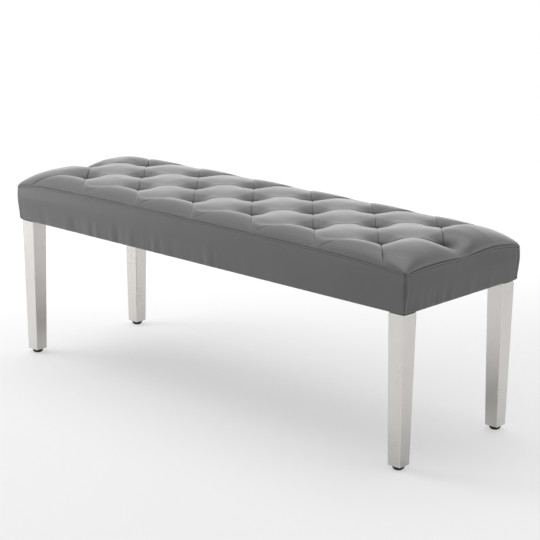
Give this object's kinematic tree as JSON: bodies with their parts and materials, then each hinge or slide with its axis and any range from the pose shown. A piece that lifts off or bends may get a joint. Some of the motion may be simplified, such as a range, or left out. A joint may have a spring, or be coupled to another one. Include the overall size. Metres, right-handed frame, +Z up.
{
  "type": "upholstered bench",
  "caption": "Long padded bench with a diamond tufted leatherette seat on slim tapered brushed steel legs with screw levelling feet.",
  "frame": {"origin": "on the floor under the centre of the seat", "axes": "+X along the seat, front towards -Y, +Z up"},
  "size_m": [1.228, 0.4, 0.471],
  "materials": {
    "leatherette": "smooth grey leatherette with a soft sheen",
    "padding": "cut foam and polyester padding",
    "pine": "planed softwood",
    "plywood": "raw plywood",
    "tie_cord": "twisted tufting twine",
    "fibreboard": "hardboard",
    "dust_cloth": "black non-woven cloth",
    "zinc_steel": "zinc plated",
    "brushed_leg_steel": "satin brushed along the leg",
    "plate_steel": "satin steel plate like the legs",
    "foot_plastic": "black moulded plastic"
  },
  "bodies": {
    "bench": {"cover_top": "leatherette", "cover_front": "leatherette", "cover_back": "leatherette", "cover_left": "leatherette", "cover_right": "leatherette", "foam_pad": "padding", "padding_front": "padding", "padding_back": "padding", "padding_left": "padding", "padding_right": "padding", "front_rail": "pine", "back_rail": "pine", "left_end_rail": "pine", "right_end_rail": "pine", "left_cross_rail": "pine", "right_cross_rail": "pine", "corner_block_front_left": "pine", "corner_block_front_right": "pine", "corner_block_back_left": "pine", "corner_block_back_right": "pine", "deck_panel": "plywood", "tuft_ties": "tie_cord", "tie_anchors": "fibreboard", "dust_cover": "dust_cloth", "cover_staples": "zinc_steel", "dust_cover_staples": "zinc_steel", "frame_screws": "zinc_steel", "deck_screws": "zinc_steel", "leg_bolts": "zinc_steel", "leg_washers": "zinc_steel", "leg_inserts": "zinc_steel", "foot_nuts": "zinc_steel", "leg_front_left": "brushed_leg_steel", "leg_front_right": "brushed_leg_steel", "leg_back_left": "brushed_leg_steel", "leg_back_right": "brushed_leg_steel", "end_plate_front_left": "brushed_leg_steel", "end_plate_front_right": "brushed_leg_steel", "end_plate_back_left": "brushed_leg_steel", "end_plate_back_right": "brushed_leg_steel", "leg_plate_front_left": "plate_steel", "leg_plate_front_right": "plate_steel", "leg_plate_back_left": "plate_steel", "leg_plate_back_right": "plate_steel"},
    "pad_front_left": {"foot_pad_front_left": "foot_plastic"},
    "stud_front_left": {"foot_stud_front_left": "zinc_steel"},
    "pad_front_right": {"foot_pad_front_right": "foot_plastic"},
    "stud_front_right": {"foot_stud_front_right": "zinc_steel"},
    "pad_back_left": {"foot_pad_back_left": "foot_plastic"},
    "stud_back_left": {"foot_stud_back_left": "zinc_steel"},
    "pad_back_right": {"foot_pad_back_right": "foot_plastic"},
    "stud_back_right": {"foot_stud_back_right": "zinc_steel"}
  },
  "joints": [
    {"name": "foot_height_front_left", "type": "slide", "parent": "bench", "child": "pad_front_left", "axis": [0, 0, -1], "range_m": [0, 0.01]},
    {"name": "foot_turn_front_left", "type": "hinge", "parent": "pad_front_left", "child": "stud_front_left", "pos_m": [-0.585, -0.171, 0.01], "axis": [0, 0, -1], "continuous": true},
    {"name": "foot_height_front_right", "type": "slide", "parent": "bench", "child": "pad_front_right", "axis": [0, 0, -1], "range_m": [0, 0.01]},
    {"name": "foot_turn_front_right", "type": "hinge", "parent": "pad_front_right", "child": "stud_front_right", "pos_m": [0.585, -0.171, 0.01], "axis": [0, 0, -1], "continuous": true},
    {"name": "foot_height_back_left", "type": "slide", "parent": "bench", "child": "pad_back_left", "axis": [0, 0, -1], "range_m": [0, 0.01]},
    {"name": "foot_turn_back_left", "type": "hinge", "parent": "pad_back_left", "child": "stud_back_left", "pos_m": [-0.585, 0.171, 0.01], "axis": [0, 0, -1], "continuous": true},
    {"name": "foot_height_back_right", "type": "slide", "parent": "bench", "child": "pad_back_right", "axis": [0, 0, -1], "range_m": [0, 0.01]},
    {"name": "foot_turn_back_right", "type": "hinge", "parent": "pad_back_right", "child": "stud_back_right", "pos_m": [0.585, 0.171, 0.01], "axis": [0, 0, -1], "continuous": true}
  ],
  "couplings": [
    {"joint": "foot_turn_front_left", "follows": "foot_height_front_left", "rad_per_m": 5026.5},
    {"joint": "foot_turn_front_right", "follows": "foot_height_front_right", "rad_per_m": 5026.5},
    {"joint": "foot_turn_back_left", "follows": "foot_height_back_left", "rad_per_m": 5026.5},
    {"joint": "foot_turn_back_right", "follows": "foot_height_back_right", "rad_per_m": 5026.5}
  ]
}
